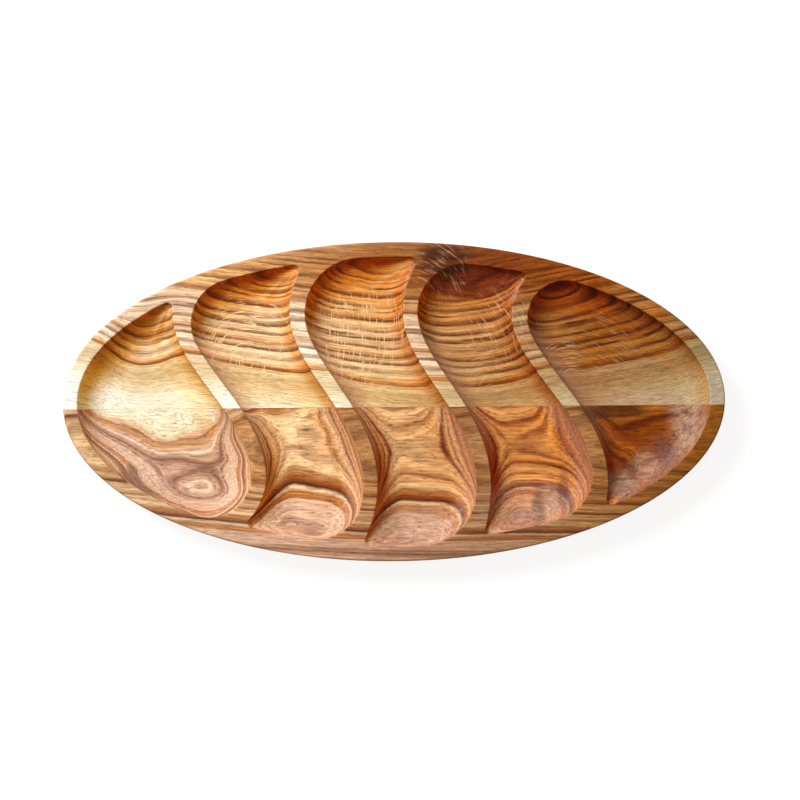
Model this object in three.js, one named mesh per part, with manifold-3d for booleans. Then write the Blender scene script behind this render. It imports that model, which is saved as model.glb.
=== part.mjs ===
// A divided serving tray: two hardwood boards glued edge to edge, cut to an oval and carved with
// five S-shaped pockets that leave four waving dividers and a narrow rim standing.
// Millimetres, +Z up. X runs along the tray, and the tray rests on z = 0 with its centre over the origin.

import * as THREE from 'three';
import { mergeVertices } from 'three/addons/utils/BufferGeometryUtils.js';
import Module from 'manifold-3d';

// Oval blank
const TRAY_LENGTH = 415;
const TRAY_WIDTH = 200;
const TRAY_THICKNESS = 20;
const TOP_EDGE_ROUND = 1.5;
const BOTTOM_EDGE_ROUND = 3;

// Edge joint between the two boards
const SEAM_Y = -3.4;
const GLUE_THICKNESS = 0.2;

// Carving
const FLOOR_THICKNESS = 8;
const RIM_WIDTH = 9.4;
const SIDE_WALL_WIDTH = 18;
const END_WALL_WIDTH = 26;
const FULL_DEPTH_REACH = 22;
const NARROW_WALL_SHARE = 0.85;
const TIP_RADIUS = 3.4;

// Dividers: one S wave each, with its own sweep to either side above and below the middle. A flare
// tightens the bend near that end, and a negative one opens it.
const DIVIDER_THICKNESS = 9.2;
const DIVIDER_SHIFT = 0.5;
const END_POCKET_EXTRA = 21;
const HALF_WAVE = 108.4;
const WAVE_Y = 3;
const DIVIDERS = [
  { upperSweep: 27.8, lowerSweep: 21, upperFlare: 0, lowerFlare: 0.52 },
  { upperSweep: 25.2, lowerSweep: 20, upperFlare: 0, lowerFlare: 0 },
  { upperSweep: 25.2, lowerSweep: 20, upperFlare: 0, lowerFlare: -0.12 },
  { upperSweep: 27.8, lowerSweep: 22.5, upperFlare: 0.3, lowerFlare: 0 },
];

// Pockets from left to right: the round at the two blunt corners, and how far the two ends stop
// short of the rim line.
const POCKETS = [
  { cornerRadius: 27, upperInset: 0, lowerInset: 0 },
  { cornerRadius: 28, upperInset: 0, lowerInset: 2.4 },
  { cornerRadius: 35, upperInset: 0, lowerInset: 0.3 },
  { cornerRadius: 30, upperInset: 2.2, lowerInset: 3 },
  { cornerRadius: 23.5, upperInset: 0, lowerInset: 0 },
];

// Facets
const OVAL_FACETS = 144;
const FACET_LENGTH = 5;
const ARC_STEP = Math.PI / 12;
const EDGE_ROUND_STEPS = 3;
const WALL_STEPS = 5;
const NEAREST_STEPS = 12;
const HALVINGS = 50;

const POCKET_DEPTH = TRAY_THICKNESS - FLOOR_THICKNESS;
const DIVIDER_PITCH = (TRAY_LENGTH - 2 * RIM_WIDTH - 2 * END_POCKET_EXTRA) / POCKETS.length;

const wasm = await Module();
wasm.setup();

function oval(inset) {
  return { a: TRAY_LENGTH / 2 - inset, b: TRAY_WIDTH / 2 - inset };
}

function ovalPoint({ a, b }, angle) {
  return new THREE.Vector2(a * Math.cos(angle), b * Math.sin(angle));
}

function ovalInward({ a, b }, angle) {
  return new THREE.Vector2(-Math.cos(angle) / a, -Math.sin(angle) / b).normalize();
}

// Angle of the oval's nearest point, closing in on it by circles of the local curvature.
function nearestAngle({ a, b }, point) {
  const px = Math.abs(point.x);
  const py = Math.abs(point.y);
  let angle = Math.PI / 4;
  for (let step = 0; step < NEAREST_STEPS; step += 1) {
    const cos = Math.cos(angle);
    const sin = Math.sin(angle);
    const focusX = ((a * a - b * b) * cos ** 3) / a;
    const focusY = ((b * b - a * a) * sin ** 3) / b;
    const radius = Math.hypot(a * cos - focusX, b * sin - focusY);
    const scale = radius / Math.hypot(px - focusX, py - focusY);
    const x = Math.max(0, ((px - focusX) * scale + focusX) / a);
    const y = Math.max(0, ((py - focusY) * scale + focusY) / b);
    angle = Math.atan2(y, x);
  }
  return Math.atan2(Math.sign(point.y) * Math.sin(angle), Math.sign(point.x) * Math.cos(angle));
}

// Distance from the oval, positive inside it.
function roomInside(rim, point) {
  const inside = (point.x / rim.a) ** 2 + (point.y / rim.b) ** 2 < 1;
  const distance = point.distanceTo(ovalPoint(rim, nearestAngle(rim, point)));
  return inside ? distance : -distance;
}

function dividerX(index, y) {
  const { upperSweep, lowerSweep, upperFlare, lowerFlare } = DIVIDERS[index];
  const along = (WAVE_Y - y) / HALF_WAVE;
  const flare = along < 0 ? upperFlare : lowerFlare;
  const swing = Math.sin(Math.PI * along * (1 + flare * along ** 2));
  const middle = DIVIDER_SHIFT + (index - (DIVIDERS.length - 1) / 2) * DIVIDER_PITCH;
  return middle + (swing * (upperSweep + lowerSweep) + swing ** 2 * (lowerSweep - upperSweep)) / 2;
}

// A point on one face of a divider (side 1 is its right face) and the way from there into the pocket.
function dividerFace(index, side, y) {
  const step = 0.001;
  const slope = (dividerX(index, y + step) - dividerX(index, y - step)) / (2 * step);
  const inward = new THREE.Vector2(side, -side * slope).normalize();
  const point = new THREE.Vector2(dividerX(index, y), y);
  return { point: point.addScaledVector(inward, DIVIDER_THICKNESS / 2), inward };
}

// The arc that rounds a pocket's corner: the circle that touches a divider's face and the rim line.
// end is 1 at the pocket's upper end and -1 at its lower end.
function corner(index, side, rim, radius, end) {
  const centreAt = (y) => {
    const { point, inward } = dividerFace(index, side, y);
    return point.addScaledVector(inward, radius);
  };
  let clear = WAVE_Y;
  let blocked = (end * TRAY_WIDTH) / 2;
  for (let step = 0; step < HALVINGS; step += 1) {
    const y = (clear + blocked) / 2;
    if (roomInside(rim, centreAt(y)) > radius) {
      clear = y;
    } else {
      blocked = y;
    }
  }
  const centre = centreAt(clear);
  const rimAngle = nearestAngle(rim, centre);
  const rimPoint = ovalPoint(rim, rimAngle);
  const facePoint = dividerFace(index, side, clear).point;
  return { centre, radius, faceY: clear, rimAngle, rimPoint, facePoint };
}

// Stretches of an outline. Each runs anticlockwise and leaves its last point to the next stretch.
function stretch(count, sampleAt) {
  return Array.from({ length: count }, (_, k) => sampleAt(k / count));
}

function rimStretch(rim, start, end) {
  const sweep = THREE.MathUtils.euclideanModulo(end - start, 2 * Math.PI);
  const length = ovalPoint(rim, start).distanceTo(ovalPoint(rim, start + sweep / 2)) * 2;
  return stretch(Math.ceil(length / FACET_LENGTH), (t) => {
    const angle = start + t * sweep;
    return { point: ovalPoint(rim, angle), inward: ovalInward(rim, angle) };
  });
}

function faceStretch(index, side, startY, endY) {
  const count = Math.ceil(Math.abs(endY - startY) / FACET_LENGTH);
  return stretch(count, (t) => dividerFace(index, side, THREE.MathUtils.lerp(startY, endY, t)));
}

function arcStretch({ centre, radius }, from, to) {
  const start = from.clone().sub(centre).angle();
  const sweep = THREE.MathUtils.euclideanModulo(to.clone().sub(centre).angle() - start, 2 * Math.PI);
  return stretch(Math.ceil(sweep / ARC_STEP), (t) => {
    const angle = start + t * sweep;
    const inward = new THREE.Vector2(-Math.cos(angle), -Math.sin(angle));
    return { point: centre.clone().addScaledVector(inward, -radius), inward };
  });
}

// One pocket's edge on the top face, as points with the way into the pocket. A divider's face runs
// from a blunt corner to a tip: upwards on the pocket's right side and downwards on its left.
function pocketOutline(index) {
  const { cornerRadius, upperInset, lowerInset } = POCKETS[index];
  const rimAt = (end) => oval(RIM_WIDTH + (end > 0 ? upperInset : lowerInset));
  const faces = [{ divider: index, side: -1 }, { divider: index - 1, side: 1 }]
    .filter(({ divider }) => divider in DIVIDERS)
    .map(({ divider, side }) => ({
      divider,
      side,
      blunt: corner(divider, side, rimAt(side), cornerRadius, side),
      tip: corner(divider, side, rimAt(-side), TIP_RADIUS, -side),
    }));
  return faces.flatMap(({ divider, side, blunt, tip }, k) => [
    ...rimStretch(rimAt(side), faces.at(k - 1).tip.rimAngle, blunt.rimAngle),
    ...arcStretch(blunt, blunt.rimPoint, blunt.facePoint),
    ...faceStretch(divider, side, blunt.faceY, tip.faceY),
    ...arcStretch(tip, tip.facePoint, tip.rimPoint),
  ]);
}

// Radius of the largest circle inside the outline that touches it at this point.
function reachFrom({ point, inward }, outline) {
  let reach = Infinity;
  for (const other of outline) {
    const chord = other.point.clone().sub(point);
    const rise = chord.dot(inward);
    if (rise > 1e-6) {
      reach = Math.min(reach, chord.lengthSq() / (2 * rise));
    }
  }
  return reach;
}

// Triangles across a ring that narrows towards two of its points: they work from one to the other,
// always by the shorter way across.
function lace(ring, first, last) {
  const count = ring.length;
  const rightSteps = (last - first + count) % count;
  const leftSteps = count - rightSteps;
  const triangles = [];
  let right = 0;
  let left = 1;
  while (right + left < count - 1) {
    const rightNow = (first + right) % count;
    const rightNext = (rightNow + 1) % count;
    const leftNow = (first - left + count) % count;
    const leftNext = (leftNow - 1 + count) % count;
    const rightWay = ring[rightNext].distanceTo(ring[leftNow]);
    const leftWay = ring[leftNext].distanceTo(ring[rightNow]);
    if (left === leftSteps || (right < rightSteps && rightWay < leftWay)) {
      triangles.push([rightNow, rightNext, leftNow]);
      right += 1;
    } else {
      triangles.push([rightNow, leftNext, leftNow]);
      left += 1;
    }
  }
  return triangles;
}

// A closed solid through rings of equally many points, each anticlockwise from above, lowest first.
function loft(rings, floor = THREE.ShapeUtils.triangulateShape(rings[0], [])) {
  const count = rings[0].length;
  const positions = rings.flat().flatMap(({ x, y, z }) => [x, y, z]);
  const triangles = [];
  for (let ring = 0; ring + 1 < rings.length; ring += 1) {
    for (let k = 0; k < count; k += 1) {
      const next = (k + 1) % count;
      const low = ring * count;
      const high = low + count;
      triangles.push(low + k, low + next, high + next, low + k, high + next, high + k);
    }
  }
  const top = (rings.length - 1) * count;
  for (const [i, j, k] of THREE.ShapeUtils.triangulateShape(rings.at(-1), [])) {
    triangles.push(top + i, top + j, top + k);
  }
  for (const [i, j, k] of floor) {
    triangles.push(i, k, j);
  }
  const geometry = new THREE.BufferGeometry();
  geometry.setAttribute('position', new THREE.Float32BufferAttribute(positions, 3));
  geometry.setIndex(triangles);
  return geometry;
}

function solid(geometry) {
  geometry.deleteAttribute('normal');
  geometry.deleteAttribute('uv');
  const merged = mergeVertices(geometry);
  const vertProperties = new Float32Array(merged.attributes.position.array);
  const triVerts = new Uint32Array(merged.index.array);
  return new wasm.Manifold(new wasm.Mesh({ numProp: 3, vertProperties, triVerts }));
}

// The oval blank, with a quarter round along its upper and lower edges.
function blank() {
  const ringAt = (inset, z) => stretch(OVAL_FACETS, (t) => {
    const { x, y } = ovalPoint(oval(inset), t * 2 * Math.PI);
    return new THREE.Vector3(x, y, z);
  });
  const rings = [];
  for (let step = 0; step <= EDGE_ROUND_STEPS; step += 1) {
    const angle = (step / EDGE_ROUND_STEPS) * (Math.PI / 2);
    rings.push(ringAt(BOTTOM_EDGE_ROUND * (1 - Math.sin(angle)), BOTTOM_EDGE_ROUND * (1 - Math.cos(angle))));
  }
  for (let step = 0; step <= EDGE_ROUND_STEPS; step += 1) {
    const angle = (step / EDGE_ROUND_STEPS) * (Math.PI / 2);
    const drop = TOP_EDGE_ROUND * (1 - Math.sin(angle));
    rings.push(ringAt(TOP_EDGE_ROUND * (1 - Math.cos(angle)), TRAY_THICKNESS - drop));
  }
  return solid(loft(rings));
}

// The two narrowest places of a pocket, at least a quarter of its outline apart.
function narrowest(walls) {
  const count = walls.length;
  const order = walls.map((_, k) => k).sort((j, k) => walls[j].reach - walls[k].reach);
  const first = order[0];
  const last = order.find((k) => {
    const apart = Math.abs(k - first);
    return Math.min(apart, count - apart) > count / 4;
  });
  return [first, last];
}

// What is carved away for one pocket. Its wall is a quarter ellipse from the edge down to the floor,
// wider at the pocket's ends than along its sides, and the floor rises where the pocket runs to a tip.
function carving(index) {
  const outline = pocketOutline(index);
  const walls = outline.map((sample) => {
    const reach = reachFrom(sample, outline);
    const width = THREE.MathUtils.lerp(SIDE_WALL_WIDTH, END_WALL_WIDTH, sample.inward.y ** 2);
    const share = Math.min(1, reach / FULL_DEPTH_REACH);
    return {
      ...sample,
      reach,
      width: Math.min(width, NARROW_WALL_SHARE * reach),
      depth: POCKET_DEPTH * Math.sin((share * Math.PI) / 2),
    };
  });
  const [first, last] = narrowest(walls);
  const rings = [];
  for (let step = WALL_STEPS; step >= 0; step -= 1) {
    const angle = (step / WALL_STEPS) * (Math.PI / 2);
    rings.push(walls.map(({ point, inward, width, depth }) => {
      const { x, y } = point.clone().addScaledVector(inward, width * (1 - Math.cos(angle)));
      return new THREE.Vector3(x, y, TRAY_THICKNESS - depth * Math.sin(angle));
    }));
  }
  rings.push(walls.map(({ point }) => new THREE.Vector3(point.x, point.y, 2 * TRAY_THICKNESS)));
  return solid(loft(rings, lace(rings[0], first, last)));
}

// The part of the carved tray between two planes across its width.
function slice(tray, lowY, highY) {
  const box = new THREE.BoxGeometry(2 * TRAY_LENGTH, highY - lowY, 4 * TRAY_THICKNESS);
  return tray.intersect(solid(box.translate(0, (lowY + highY) / 2, 0)));
}

function mesh(name, body, colour, roughness) {
  const { vertProperties, triVerts } = body.getMesh();
  const geometry = new THREE.BufferGeometry();
  geometry.setAttribute('position', new THREE.Float32BufferAttribute(vertProperties, 3));
  geometry.setIndex(new THREE.Uint32BufferAttribute(triVerts, 1));
  geometry.computeVertexNormals();
  const material = new THREE.MeshStandardMaterial({ color: colour, roughness, metalness: 0 });
  const part = new THREE.Mesh(geometry, material);
  part.name = name;
  return part;
}

const carved = POCKETS.reduce((tray, _, index) => tray.subtract(carving(index)), blank());
const seamFront = SEAM_Y - GLUE_THICKNESS / 2;
const seamBack = SEAM_Y + GLUE_THICKNESS / 2;

const tray = new THREE.Group();
tray.add(mesh('back_board', slice(carved, seamBack, TRAY_WIDTH), 0xc99b62, 0.5));
tray.add(mesh('front_board', slice(carved, -TRAY_WIDTH, seamFront), 0xb98350, 0.5));
tray.add(mesh('glue_line', slice(carved, seamFront, seamBack), 0x7d5630, 0.6));

export default tray;
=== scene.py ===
"""The looks of a divided serving tray: two carved boards, the glue between them, and their studio.

Sizes are in millimetres in the tray's own frame, with +X along its length, +Y towards the back board
and +Z up out of the pockets. They become metres where a mesh or the camera is made.
"""

import logging
import math
from dataclasses import astuple, dataclass, field
from enum import Enum
from functools import reduce
from typing import Callable, Sequence

import bmesh
import bpy
import numpy as np
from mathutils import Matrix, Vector, geometry


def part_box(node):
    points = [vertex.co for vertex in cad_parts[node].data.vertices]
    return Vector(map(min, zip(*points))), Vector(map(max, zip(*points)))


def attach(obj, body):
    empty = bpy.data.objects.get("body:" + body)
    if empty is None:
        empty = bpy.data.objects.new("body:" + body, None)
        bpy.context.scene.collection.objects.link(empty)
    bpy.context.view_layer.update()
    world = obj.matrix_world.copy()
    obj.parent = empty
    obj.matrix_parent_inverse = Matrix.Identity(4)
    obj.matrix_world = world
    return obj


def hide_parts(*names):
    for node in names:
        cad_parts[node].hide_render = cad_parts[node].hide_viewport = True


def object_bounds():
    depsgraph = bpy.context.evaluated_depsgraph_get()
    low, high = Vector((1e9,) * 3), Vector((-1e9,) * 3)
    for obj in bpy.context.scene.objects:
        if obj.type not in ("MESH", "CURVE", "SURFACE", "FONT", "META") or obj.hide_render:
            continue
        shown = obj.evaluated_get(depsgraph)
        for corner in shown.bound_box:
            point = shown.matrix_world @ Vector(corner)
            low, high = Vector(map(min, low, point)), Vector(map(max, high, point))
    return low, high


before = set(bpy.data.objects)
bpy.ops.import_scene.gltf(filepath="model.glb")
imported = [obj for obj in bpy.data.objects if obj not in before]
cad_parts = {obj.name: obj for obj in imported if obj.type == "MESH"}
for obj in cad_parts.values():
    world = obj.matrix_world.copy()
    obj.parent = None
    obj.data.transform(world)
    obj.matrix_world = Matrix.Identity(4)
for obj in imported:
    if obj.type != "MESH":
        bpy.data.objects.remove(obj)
CAD_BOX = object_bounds()

MM = 0.001
TINY = 1e-6
LOG = logging.getLogger("divided_serving_tray")

Colour = tuple[float, float, float]
Loop = list[bmesh.types.BMVert]
Socket = bpy.types.NodeSocket
Stretch = tuple[np.ndarray, np.ndarray]


class End(Enum):
    """The end of a pocket, as a sign along Y."""

    LOWER = -1
    UPPER = 1


class Side(Enum):
    """The face of a divider that a pocket lies against, as a sign along X."""

    LEFT = -1
    RIGHT = 1


def linear(hex_code: str) -> Colour:
    """Turns six hexadecimal digits, a colour on a screen, into the linear colour that a shader takes."""
    shares = [int(hex_code[i:i + 2], 16) / 255 for i in (0, 2, 4)]
    return tuple(s / 12.92 if s <= 0.04045 else ((s + 0.055) / 1.055) ** 2.4 for s in shares)


def inside(points: np.ndarray, ring: np.ndarray) -> np.ndarray:
    """Tells which points lie inside a closed ring.

    Args:
        points: The points' x and y.
        ring: The ring's x and y, in order.

    Returns:
        True for each point inside.
    """
    x, y = points[:, :1], points[:, 1:]
    ax, ay = ring.T
    bx, by = np.roll(ring, -1, axis=0).T
    level = np.where(ay == by, 1.0, by - ay)
    crossed = ((ay > y) != (by > y)) & (x < ax + (y - ay) / level * (bx - ax))
    return crossed.sum(1) % 2 == 1


@dataclass(frozen=True)
class Divider:
    """One waving wall between two pockets.

    Attributes:
        upper_sweep: How far it swings to the left above the middle of its wave.
        lower_sweep: How far it swings to the right below it.
        upper_flare: How much sooner than a sine the upper swing turns back.
        lower_flare: How much sooner than a sine the lower swing turns back.
    """

    upper_sweep: float
    lower_sweep: float
    upper_flare: float = 0.0
    lower_flare: float = 0.0


@dataclass(frozen=True)
class Pocket:
    """One carved pocket.

    Attributes:
        corner_radius: Round of its blunt corners.
        upper_inset: Extra width of the rim above it.
        lower_inset: Extra width of the rim below it.
    """

    corner_radius: float
    upper_inset: float = 0.0
    lower_inset: float = 0.0


@dataclass(frozen=True)
class Oval:
    """An ellipse about the tray's middle."""

    half_length: float
    half_width: float

    def point(self, angle: np.ndarray) -> np.ndarray:
        """Gives the points at these angles."""
        return np.stack([self.half_length * np.cos(angle), self.half_width * np.sin(angle)], -1)

    def inward(self, angle: np.ndarray) -> np.ndarray:
        """Gives the unit vectors that point inwards at these angles."""
        slope = np.stack([-np.cos(angle) / self.half_length, -np.sin(angle) / self.half_width], -1)
        return slope / np.linalg.norm(slope, axis=-1, keepdims=True)

    def nearest(self, point: np.ndarray, rounds: int = 12) -> float:
        """Finds the angle of the ellipse's nearest point, by its circles of curvature.

        Args:
            point: A point inside or outside the ellipse.
            rounds: How often the guess is bettered.

        Returns:
            The angle of the nearest point.
        """
        a, b = self.half_length, self.half_width
        px, py = abs(point[0]), abs(point[1])
        angle = math.pi / 4
        for _ in range(rounds):
            c, s = math.cos(angle), math.sin(angle)
            ex, ey = (a * a - b * b) * c ** 3 / a, (b * b - a * a) * s ** 3 / b
            stretch = math.hypot(a * c - ex, b * s - ey) / math.hypot(px - ex, py - ey)
            x, y = (px - ex) * stretch + ex, (py - ey) * stretch + ey
            angle = math.atan2(max(0.0, y / b), max(0.0, x / a))
        up, right = math.copysign(math.sin(angle), point[1]), math.copysign(math.cos(angle), point[0])
        return math.atan2(up, right)

    def room(self, point: np.ndarray) -> float:
        """Gives a point's distance from the ellipse, negative outside it."""
        within = (point[0] / self.half_length) ** 2 + (point[1] / self.half_width) ** 2 < 1
        gap = float(np.linalg.norm(point - self.point(self.nearest(point))))
        return gap if within else -gap


@dataclass(frozen=True)
class Corner:
    """A round that joins a divider's face to the rim: its centre and radius, and where it meets them."""

    centre: np.ndarray
    radius: float
    face_y: float
    face_point: np.ndarray
    rim_angle: float
    rim_point: np.ndarray


@dataclass(frozen=True)
class Walls:
    """A pocket's edge, point by point: place, inward direction, width of the wall and depth of its foot."""

    points: np.ndarray
    inward: np.ndarray
    width: np.ndarray
    depth: np.ndarray


@dataclass(frozen=True)
class TrayForm:
    """The tray's carved form. The overall sizes come from the frame, the rest are its own.

    Attributes:
        length, width, thickness: Overall sizes.
        floor: Thickness left under the pockets.
        rim: Width of the rim around the pockets.
        side_wall, end_wall: Width of a pocket's sloping wall along its sides and at its ends.
        full_depth_reach: Half width from which a pocket has its full depth.
        narrow_share: Share of a narrow pocket's half width that its wall takes.
        tip_radius: Round of the pockets' sharp tips.
        divider_thickness: Thickness of the dividers.
        divider_shift: How far the row of dividers lies to the right of the middle.
        end_extra: Extra length of the two end pockets.
        half_wave, wave_y: Half the length of a divider's wave, and the height of its middle.
        lip, lip_margin: Round of a pocket's edge, and the strip of the flat top that is meshed with it.
        top_round, bottom_round: Rounds of the outer edge.
        spacing, arc_step: Distance between an outline's points, and angle between a round's at most.
        lip_steps, wall_steps, edge_steps: Facets of a pocket's edge, its wall and the outer edge.
        halvings: How often the search for a corner's place is halved.
        rim_samples: Points from which the length of a stretch of rim is taken.
        dividers, pockets: The dividers and the pockets, from the left.
    """

    length: float
    width: float
    thickness: float
    floor: float = 8.0
    rim: float = 9.4
    side_wall: float = 18.0
    end_wall: float = 26.0
    full_depth_reach: float = 22.0
    narrow_share: float = 0.97
    tip_radius: float = 3.4
    divider_thickness: float = 9.2
    divider_shift: float = 0.5
    end_extra: float = 21.0
    half_wave: float = 108.4
    wave_y: float = 3.0
    lip: float = 0.6
    lip_margin: float = 0.3
    top_round: float = 1.5
    bottom_round: float = 3.0
    spacing: float = 1.2
    arc_step: float = math.radians(6)
    lip_steps: int = 4
    wall_steps: int = 16
    edge_steps: int = 6
    halvings: int = 50
    rim_samples: int = 200
    dividers: tuple[Divider, ...] = (
        Divider(27.8, 21.0, lower_flare=0.52),
        Divider(25.2, 20.0),
        Divider(25.2, 20.0, lower_flare=-0.12),
        Divider(27.8, 22.5, upper_flare=0.3),
    )
    pockets: tuple[Pocket, ...] = (
        Pocket(27.0),
        Pocket(28.0, lower_inset=2.4),
        Pocket(35.0, lower_inset=0.3),
        Pocket(30.0, upper_inset=2.2, lower_inset=3.0),
        Pocket(23.5),
    )

    @property
    def pitch(self) -> float:
        """Distance from one divider to the next."""
        return (self.length - 2 * self.rim - 2 * self.end_extra) / len(self.pockets)

    def oval(self, inset: float) -> Oval:
        """Gives the tray's oval, drawn in by inset."""
        return Oval(self.length / 2 - inset, self.width / 2 - inset)

    def divider_x(self, index: int, y: np.ndarray) -> np.ndarray:
        """Gives a divider's middle line.

        Args:
            index: Which divider, from the left.
            y: Heights at which it is wanted.

        Returns:
            The line's x at each height.
        """
        divider = self.dividers[index]
        along = (self.wave_y - y) / self.half_wave
        flare = np.where(along < 0, divider.upper_flare, divider.lower_flare)
        swing = np.sin(np.pi * along * (1 + flare * along ** 2))
        middle = self.divider_shift + (index - (len(self.dividers) - 1) / 2) * self.pitch
        both = divider.lower_sweep + divider.upper_sweep
        uneven = divider.lower_sweep - divider.upper_sweep
        return middle + (swing * both + swing ** 2 * uneven) / 2

    def face(self, index: int, side: Side, y: np.ndarray, step: float = 0.001) -> Stretch:
        """Gives points on one face of a divider.

        Args:
            index: Which divider, from the left.
            side: Which of its faces.
            y: Heights on the divider's middle line.
            step: Short step over which the line's slope is taken.

        Returns:
            The points, and the directions from them into the pocket.
        """
        y = np.asarray(y, float)
        slope = (self.divider_x(index, y + step) - self.divider_x(index, y - step)) / (2 * step)
        inward = np.stack([np.full_like(slope, side.value), -side.value * slope], -1)
        inward /= np.linalg.norm(inward, axis=-1, keepdims=True)
        line = np.stack([self.divider_x(index, y), y], -1)
        return line + inward * self.divider_thickness / 2, inward

    def corner(self, index: int, side: Side, rim: Oval, radius: float, end: End) -> Corner:
        """Fits the round between a divider's face and the rim.

        Args:
            index: Which divider, from the left.
            side: Which of its faces.
            rim: The oval that the round touches.
            radius: The round's radius.
            end: The end of the pocket that it lies at.

        Returns:
            The round.
        """
        clear, blocked = self.wave_y, end.value * self.width / 2
        for _ in range(self.halvings):
            y = (clear + blocked) / 2
            point, inward = self.face(index, side, y)
            if rim.room(point + inward * radius) > radius:
                clear = y
            else:
                blocked = y
        point, inward = self.face(index, side, clear)
        centre = point + inward * radius
        angle = rim.nearest(centre)
        return Corner(centre, radius, clear, point, angle, rim.point(angle))

    def rim_stretch(self, rim: Oval, start: float, end: float) -> Stretch:
        """Gives the points of a rim between two angles, anticlockwise, and their inward directions."""
        sweep = (end - start) % (2 * math.pi)
        fine = rim.point(start + sweep * np.linspace(0, 1, self.rim_samples))
        count = math.ceil(np.linalg.norm(np.diff(fine, axis=0), axis=1).sum() / self.spacing)
        angles = start + sweep * np.arange(count) / count
        return rim.point(angles), rim.inward(angles)

    def face_stretch(self, index: int, side: Side, start: float, end: float) -> Stretch:
        """Gives the points of a divider's face between two heights, and their inward directions."""
        count = math.ceil(abs(end - start) / self.spacing)
        return self.face(index, side, start + (end - start) * np.arange(count) / count)

    def arc(self, corner: Corner, start: np.ndarray, end: np.ndarray) -> Stretch:
        """Gives the points of a corner's round, anticlockwise, and their inward directions."""
        first, last = (math.atan2(*(p - corner.centre)[::-1]) for p in (start, end))
        sweep = (last - first) % (2 * math.pi)
        count = math.ceil(max(sweep / self.arc_step, sweep * corner.radius / self.spacing))
        angles = first + sweep * np.arange(count) / count
        inward = np.stack([-np.cos(angles), -np.sin(angles)], -1)
        return corner.centre - inward * corner.radius, inward

    def outline(self, index: int) -> Stretch:
        """Draws a pocket's edge, anticlockwise.

        Args:
            index: Which pocket, from the left.

        Returns:
            The edge's points and their inward directions.
        """
        pocket = self.pockets[index]
        rims = {
            End.UPPER: self.oval(self.rim + pocket.upper_inset),
            End.LOWER: self.oval(self.rim + pocket.lower_inset),
        }
        faces = []
        for divider, side in ((index, Side.LEFT), (index - 1, Side.RIGHT)):
            if 0 <= divider < len(self.dividers):
                near, far = End(side.value), End(-side.value)
                blunt = self.corner(divider, side, rims[near], pocket.corner_radius, near)
                tip = self.corner(divider, side, rims[far], self.tip_radius, far)
                faces.append((divider, side, rims[near], blunt, tip))
        stretches = []
        for k, (divider, side, rim, blunt, tip) in enumerate(faces):
            stretches.append(self.rim_stretch(rim, faces[k - 1][-1].rim_angle, blunt.rim_angle))
            stretches.append(self.arc(blunt, blunt.rim_point, blunt.face_point))
            stretches.append(self.face_stretch(divider, side, blunt.face_y, tip.face_y))
            stretches.append(self.arc(tip, tip.face_point, tip.rim_point))
        return tuple(np.concatenate(parts) for parts in zip(*stretches))

    def walls(self, index: int) -> Walls:
        """Works out a pocket's walls, whose width and depth fall where the pocket narrows.

        Args:
            index: Which pocket, from the left.

        Returns:
            The pocket's walls.
        """
        points, inward = self.outline(index)
        chords = points[None] - points[:, None]
        rise = np.einsum("ijk,ik->ij", chords, inward)
        inscribed = np.where(rise > TINY, (chords ** 2).sum(-1) / (2 * np.maximum(rise, TINY)), np.inf)
        reach = inscribed.min(1)
        wide = self.side_wall + (self.end_wall - self.side_wall) * inward[:, 1] ** 2
        share = np.minimum(1, reach / self.full_depth_reach)
        depth = (self.thickness - self.floor) * np.sin(np.pi / 2 * share)
        return Walls(points, inward, np.minimum(wide, self.narrow_share * reach), depth)


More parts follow.
